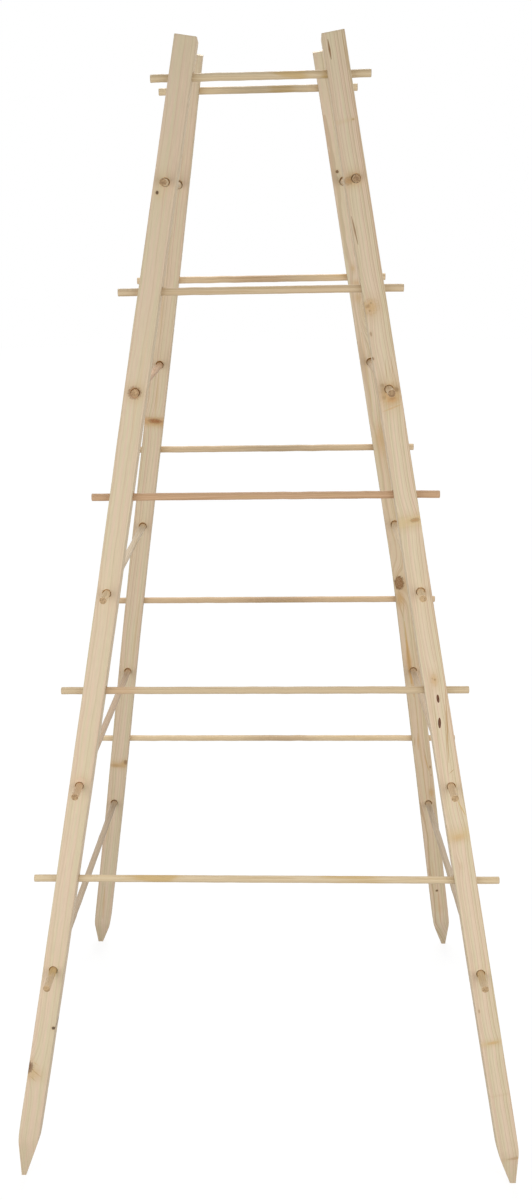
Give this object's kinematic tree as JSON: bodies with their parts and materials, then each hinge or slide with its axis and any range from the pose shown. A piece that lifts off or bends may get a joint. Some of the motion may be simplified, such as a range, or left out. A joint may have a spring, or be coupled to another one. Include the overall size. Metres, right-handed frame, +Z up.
{
  "type": "plant ladder stand",
  "caption": "Tall open wooden climbing stand for plants: square posts with pointed feet lean inwards, and round rungs pass through them on every side.",
  "frame": {"origin": "on the ground, midway between the feet", "axes": "+Z up; -Y is the front that the picture shows; +X to the right seen from the front"},
  "size_m": [0.6776, 0.6682, 1.4693],
  "materials": {
    "post_wood": "planed, untreated",
    "rung_wood": "turned dowel, untreated"
  },
  "bodies": {
    "root": {"post_front_left": "post_wood", "post_front_right": "post_wood", "post_back_left": "post_wood", "post_back_right": "post_wood", "front_rung_1": "rung_wood", "front_rung_2": "rung_wood", "front_rung_3": "rung_wood", "front_rung_4": "rung_wood", "front_rung_5": "rung_wood", "back_rung_1": "rung_wood", "back_rung_2": "rung_wood", "back_rung_3": "rung_wood", "back_rung_4": "rung_wood", "back_rung_5": "rung_wood", "left_rung_1": "rung_wood", "left_rung_2": "rung_wood", "left_rung_3": "rung_wood", "left_rung_4": "rung_wood", "left_rung_5": "rung_wood", "right_rung_1": "rung_wood", "right_rung_2": "rung_wood", "right_rung_3": "rung_wood", "right_rung_4": "rung_wood", "right_rung_5": "rung_wood"}
  },
  "joints": []
}
